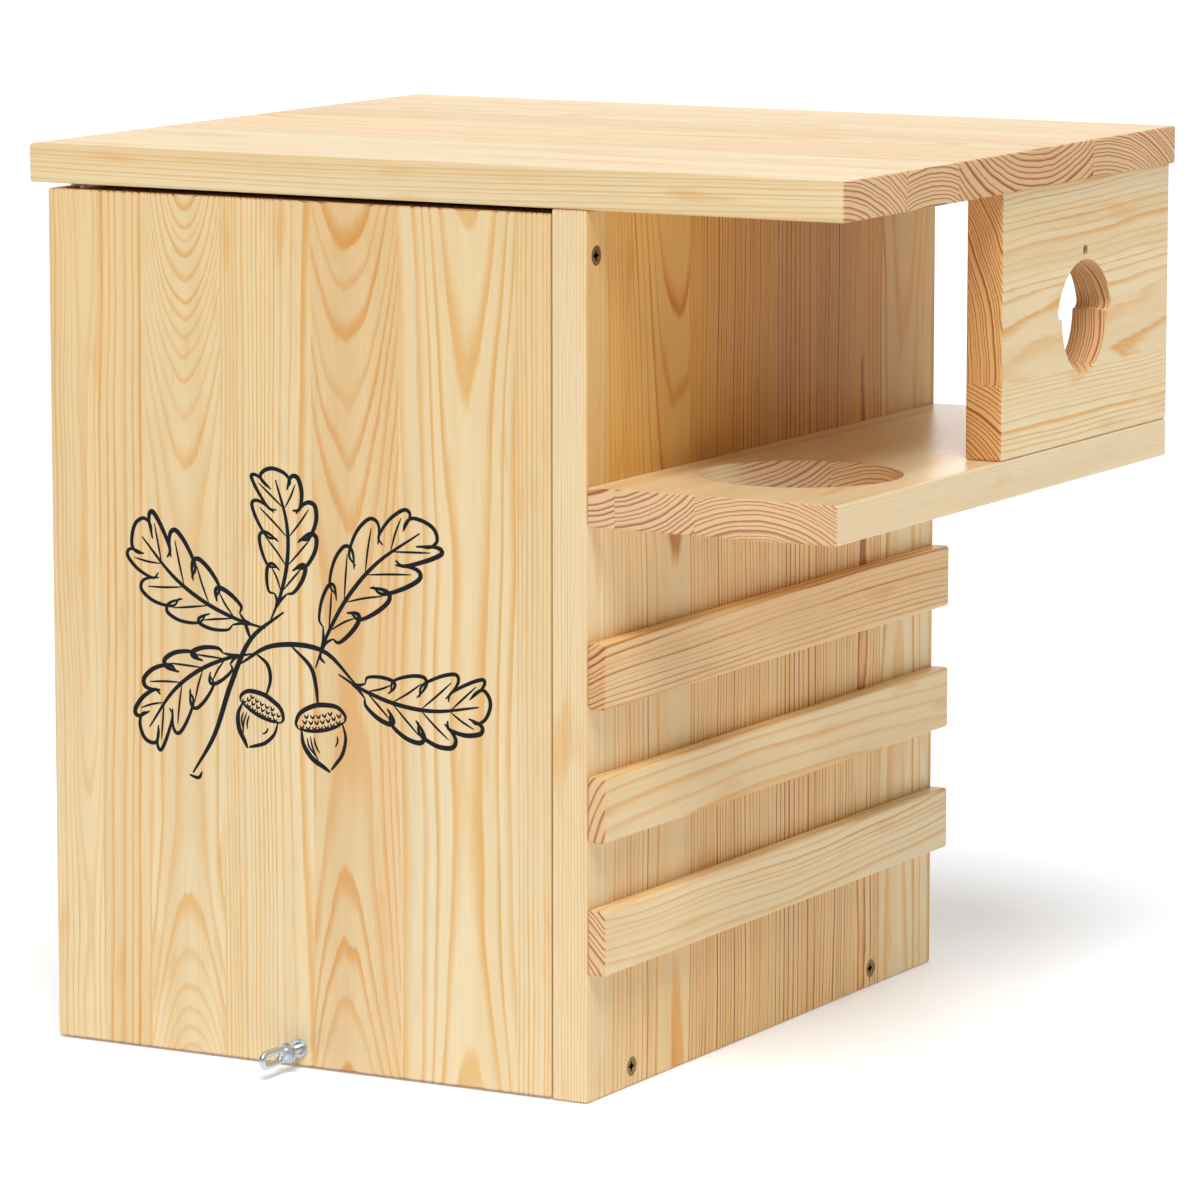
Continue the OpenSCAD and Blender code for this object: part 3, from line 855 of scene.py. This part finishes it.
def screws(node, outward, bronze, dark):
    """Countersunk screws: eased heads, and a cross recess painted dark inside as its shade."""
    shape = clean_copy(node)
    round_edges(shape, sharp_edges(shape, METAL_SHARP), SCREW_EASE * MM, FINE_FACES)
    outward = Vector(outward)
    top = max(vert.co.dot(outward) for vert in shape.verts)
    for face in shape.faces:
        depth = (top - face.calc_center_median().dot(outward)) / MM
        facing = face.normal.dot(outward)
        if RECESS_SPAN[0] < depth < RECESS_SPAN[1] and facing > RECESS_FACING:
            # The recess faces get the dark bronze as painted shade
            face.material_index = 1
    finish_piece(shape, node + "_part", node, [bronze, dark], METAL_SHARP)


def smooth_path(points):
    """Places along a smooth curve through the given ones."""
    ends = [2 * points[0] - points[1], *points, 2 * points[-1] - points[-2]]
    path = []
    for a, b, c, d in zip(ends, ends[1:], ends[2:], ends[3:]):
        for step in range(PATH_STEPS):
            t = step / PATH_STEPS
            turn = 2 * a - 5 * b + 4 * c - d + t * (3 * (b - c) + d - a)
            path.append(b + 0.5 * t * (c - a + t * turn))
    path.append(points[-1])
    return path


def leaf_strokes(foot, tip, half, bend):
    """One leaf's pen strokes: the lobes and veins of both sides, its tip, rib and stalk."""
    reach = tip - foot
    along = reach / abs(reach)

    def spot(part, side):
        """The place part of the way along the leaf and side millimetres off its rib."""
        lift = bend * abs(reach) * 4 * part * (1 - part)
        return foot + along * (part * abs(reach) + 1j * (lift + side))

    strokes = []
    for sign, pen in LOBE_PENS:
        for index, (start, end, wide) in enumerate(LOBES):
            out = half * wide * sign
            long = end - start
            slant = 0.05 + 0.02 * index
            strokes.append(([spot(start, 0.34 * out), spot(start + 0.015, 0.66 * out),
                             spot(start + 0.42 * long + 0.6 * slant, 0.93 * out),
                             spot(start + 0.80 * long + slant, out),
                             spot(end + 0.95 * slant, 0.86 * out),
                             spot(end + 0.75 * slant, 0.64 * out),
                             spot(end, 0.34 * out)], pen))
            strokes.append(([spot(start + 0.02, 0.04 * out),
                             spot(start + 0.5 * long + 0.03, 0.42 * out),
                             spot(end + 0.4 * slant, 0.78 * out)], VEIN_PEN))
        strokes.append(([spot(0.0, 0.5 * sign), spot(0.05, sign),
                         spot(0.105, 0.21 * half * sign)], STALK_PEN))
    top = 0.44 * half
    strokes.append(([spot(0.865, 0.59 * top), spot(0.90, 0.9 * top), spot(0.955, top),
                     spot(1.0, 0.45 * top), spot(1.012, -0.2 * top), spot(0.98, -0.85 * top),
                     spot(0.92, -top), spot(0.87, -0.59 * top)], TIP_PEN))
    strokes.append(([spot(part, 0) for part in (-0.10, 0.1, 0.35, 0.62, 0.93)], RIB_PEN))
    return strokes


def acorn_strokes(top, heading, long, half):
    """One acorn's pen strokes: the cup's outline and marks, the nut's two sides and lines."""
    turn = math.radians(heading)
    along = complex(math.cos(turn), math.sin(turn))

    def spot(part, side):
        """The place part of the way down the acorn, and side half widths off its middle."""
        return top + along * (part * long + 1j * side * half)

    strokes = [
        ([spot(0.30, 1.12), spot(0.20, 1.16), spot(0.06, 0.86), spot(0.0, 0.3),
          spot(-0.01, -0.2), spot(0.06, -0.86), spot(0.20, -1.16), spot(0.30, -1.12)],
         CUP_PEN),
        ([spot(0.30, 1.12), spot(0.36, 0.6), spot(0.38, 0.0), spot(0.36, -0.6),
          spot(0.30, -1.12)], BRIM_PEN),
        ([spot(0.33, 0.98), spot(0.55, 1.0), spot(0.78, 0.72), spot(0.93, 0.28),
          spot(1.0, 0.04)], NUT_PENS[0]),
        ([spot(0.33, -0.98), spot(0.55, -1.0), spot(0.78, -0.72), spot(0.93, -0.28),
          spot(1.03, 0.0)], NUT_PENS[1]),
    ]
    for row, (part, wide, count) in enumerate(CUP_ROWS):
        for index in range(count):
            side = wide * (2 * (index + 0.5 * (row % 2)) / count - 1 + 0.5 / count)
            down = part + 0.07 * (1 - side * side)
            strokes.append(([spot(down - 0.02, side - 0.10), spot(down + 0.035, side),
                             spot(down - 0.015, side + 0.11)], FINE_PEN))
    for side, start, end in NUT_LINES:
        strokes.append(([spot(start, side), spot(0.5 * (start + end), 0.97 * side),
                         spot(end, 0.72 * side)], FINE_PEN))
    return strokes


def pen_stroke(shape, points, width, face):
    """Adds one flat stroke on the plane y = face: a strip that thins towards its ends."""
    path = smooth_path(points)
    last = len(path) - 1
    strip = bmesh.ops.create_grid(shape, x_segments=last, y_segments=1, size=1)["verts"]
    for vert in strip:
        index = round((vert.co.x + 1) / 2 * last)
        run = path[min(index + 1, last)] - path[max(index - 1, 0)]
        swell = PEN_END + (1 - PEN_END) * math.sin(math.pi * index / last) ** PEN_SWELL
        place = path[index] + 1j * run / abs(run) * vert.co.y * swell * width * PEN_WEIGHT / 2
        vert.co = (place.real * MM, face, place.imag * MM)


def door_print():
    """The oak sprig printed on the door, as thin raised ink."""
    strokes = list(STEMS)
    for leaf in LEAVES:
        strokes += leaf_strokes(*leaf)
    for acorn in ACORNS:
        strokes += acorn_strokes(*acorn)
    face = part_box("door")[0][1]
    shape = bmesh.new()
    for index, (points, width) in enumerate(strokes):
        pen_stroke(shape, points, width, face - (INK_PROUD + index * INK_STEP) * MM)
    bmesh.ops.recalc_face_normals(shape, faces=shape.faces)
    for strip_face in shape.faces:
        if strip_face.normal.y > 0:
            strip_face.normal_flip()
    bmesh.ops.solidify(shape, geom=shape.faces[:], thickness=INK_DEEP * MM)
    bmesh.ops.recalc_face_normals(shape, faces=shape.faces)
    mesh = mesh_of(shape, "door_print")
    mesh.materials.append(ink())
    piece = add_object("door_print", mesh)
    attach(piece, "door")


def studio_floor():
    """A wide matt white floor that the house stands on."""
    shape = bmesh.new()
    bmesh.ops.create_grid(shape, x_segments=1, y_segments=1, size=FLOOR_REACH)
    mesh = mesh_of(shape, "studio_floor")
    material, _, shader = new_material("studio_white")
    shader.inputs["Base Color"].default_value = FLOOR_WHITE
    shader.inputs["Roughness"].default_value = FLOOR_ROUGHNESS
    shader.inputs["Specular IOR Level"].default_value = FLOOR_SHINE
    shader.inputs["Emission Color"].default_value = (1, 1, 1, 1)
    shader.inputs["Emission Strength"].default_value = FLOOR_GLOW
    mesh.materials.append(material)
    mesh.transform(Matrix.Translation((0, 0, -FLOOR_DROP)))
    add_object("studio_floor", mesh)


def key_light():
    """One big soft light from above the camera."""
    lamp = bpy.data.lights.new("key_light", "SUN")
    lamp.energy = KEY_POWER
    lamp.angle = math.radians(KEY_SPREAD)
    light = add_object("key_light", lamp)
    light.rotation_euler = Vector(KEY_FROM).to_track_quat("Z", "Y").to_euler()


def white_room():
    """The room's light from all round, and the plain white that the camera sees behind."""
    world = bpy.data.worlds.new("white_room")
    bpy.context.scene.world = world
    world.use_nodes = True
    w = Wires(world.node_tree)
    ground = world.node_tree.nodes["Background"]
    path = w.put("ShaderNodeLightPath")
    x, y, z = w.split(w.put("ShaderNodeTexCoord").outputs["Generated"])
    glare = 1.0
    for part, span in zip((x, y, z), GLARE_SPANS):
        glare = w.times(glare, w.step(part, *span))
    light = w.mix(w.step(z, *TOP_SPAN), SIDE_LIGHT, TOP_LIGHT)
    light = w.mix(w.step(y, *BACK_SPAN), light, BACK_LIGHT)
    light = w.mix(glare, light, GLARE_LIGHT)
    light = w.mix(w.step(y, *FRONT_SPAN), light, FRONT_LIGHT)
    w.feed(ground.inputs["Color"], w.mix(path.outputs["Is Camera Ray"], light, BACKDROP))


def camera():
    """The photograph's viewpoint, found by fitting the box's corners."""
    turn = math.radians(CAMERA_TURN)
    fall = math.radians(CAMERA_FALL)
    look = Vector((-math.sin(turn) * math.cos(fall), math.cos(turn) * math.cos(fall),
                   -math.sin(fall)))
    lens = bpy.data.cameras.new("photo_camera")
    lens.lens = CAMERA_LENS
    lens.sensor_width = CAMERA_SENSOR
    lens.clip_end = CAMERA_END
    view = add_object("photo_camera", lens)
    view.location = CAMERA_AT
    view.rotation_euler = look.to_track_quat("-Z", "Y").to_euler()
    bpy.context.scene.camera = view


def build_boards():
    """All the boards, cut from one pattern of growth rings."""
    rings = growth_rings()
    board("door", UPRIGHT_FRONT, DOOR_STAVES, rings, rounding=DOOR_ROUNDING)
    board("right_wall", UPRIGHT_SIDE, RIGHT_WALL_STAVES, rings)
    for node, (run, width, seed) in PLAIN_BOARDS.items():
        board(node, run, plain_staves(width, seed), rings)
    board("roof", ROOF_RUN, ROOF_STAVES, rings, polish=ROOF_POLISH)
    board("shelf", SHELF_RUN, SHELF_STAVES, rings, polish=SHELF_POLISH)
    board("outer_panel", PANEL_RUN, PANEL_STAVES, rings)
    for node, staves in SLAT_STAVES.items():
        board(node, PANEL_RUN, staves, rings, rounding=SLAT_ROUNDING)


def build_fixings():
    """The metal parts and the dowels."""
    zinc = metal("zinc")
    bronze = metal("bronze")
    # Dark bronze painted as shade in the screws' recesses
    dark = metal("bronze_recess")
    for node, rounding in FINE_PARTS.items():
        fine_part(node, zinc, rounding)
    for node, outward in SCREWS_FACE.items():
        screws(node, outward, bronze, dark)
    wood = beech()
    for node in DOWELS:
        dress(node, wood)


bpy.context.scene.view_settings.view_transform = "Standard"
bpy.context.scene.view_settings.gamma = PHOTO_GAMMA
studio_floor()
key_light()
white_room()
camera()
build_boards()
build_fixings()
door_print()
